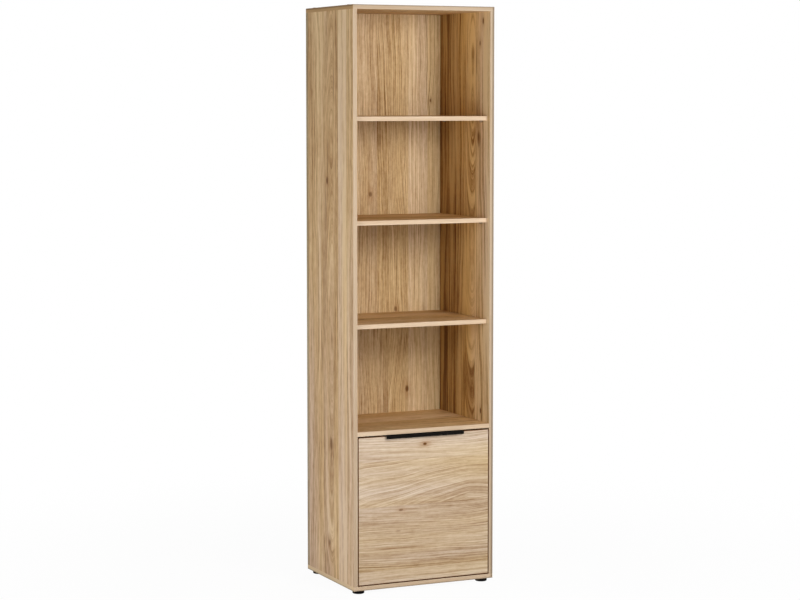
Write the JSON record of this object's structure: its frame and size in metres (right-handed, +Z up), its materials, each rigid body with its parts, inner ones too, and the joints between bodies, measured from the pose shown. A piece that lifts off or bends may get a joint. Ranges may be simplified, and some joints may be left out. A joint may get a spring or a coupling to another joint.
{
  "type": "bookcase",
  "caption": "Tall narrow bookcase in oak decor with open bays above one bay behind a side-hung inset door with an edge handle, on small round feet.",
  "frame": {"origin": "on the floor, in the middle of the outer box in width and depth", "axes": "+X to the right as seen from the front, +Y to the back, +Z up"},
  "size_m": [0.53, 0.422, 2.014],
  "materials": {
    "oak_case": "matt oak decor on chipboard",
    "oak_back": "matt oak decor on thin board",
    "oak_door": "matt oak decor, grain across",
    "edge_band": "matt, light oak print",
    "black_metal": "matt black powder coat",
    "black_plastic": "matt, moulded",
    "brown_plastic": "matt, moulded",
    "beech": "bare fluted beech",
    "zinc": "zinc plated",
    "nickel": "nickel plated, satin"
  },
  "bodies": {
    "case": {"top_panel": "oak_case", "top_edge_bands": "edge_band", "bottom_panel": "oak_case", "bottom_edge_bands": "edge_band", "side_panel_left": "oak_case", "side_edge_band_left": "edge_band", "side_panel_right": "oak_case", "side_edge_band_right": "edge_band", "back_panel": "oak_back", "fixed_shelf": "oak_case", "fixed_shelf_edge_band": "edge_band", "shelf_lower": "oak_case", "shelf_middle": "oak_case", "shelf_upper": "oak_case", "shelf_edge_band_lower": "edge_band", "shelf_edge_band_middle": "edge_band", "shelf_edge_band_upper": "edge_band", "shelf_pins": "nickel", "wood_dowels": "beech", "case_screws_top": "zinc", "case_screws_bottom": "zinc", "screw_caps": "brown_plastic", "cam_housings": "zinc", "cam_bolts": "zinc", "foot_front_left": "black_plastic", "foot_front_right": "black_plastic", "foot_rear_left": "black_plastic", "foot_rear_right": "black_plastic", "foot_screws": "zinc", "wall_bracket": "zinc", "wall_bracket_screws": "zinc", "door_stops": "brown_plastic", "hinge_arm_lower": "nickel", "hinge_arm_upper": "nickel", "hinge_plate_lower": "nickel", "hinge_plate_upper": "nickel", "hinge_plate_screws": "nickel", "hinge_arm_screws": "nickel"},
    "door": {"door_panel": "oak_door", "door_edge_bands": "edge_band", "handle": "black_metal", "handle_screws": "black_metal", "hinge_cup_lower": "nickel", "hinge_cup_upper": "nickel", "hinge_pivot_lower": "nickel", "hinge_pivot_upper": "nickel", "hinge_cup_screws": "nickel"}
  },
  "joints": [
    {"name": "door_swing", "type": "hinge", "parent": "case", "child": "door", "pos_m": [0.23394, -0.1915, 0.28525], "axis": [0, 0, 1], "range_deg": [0, 105]}
  ]
}
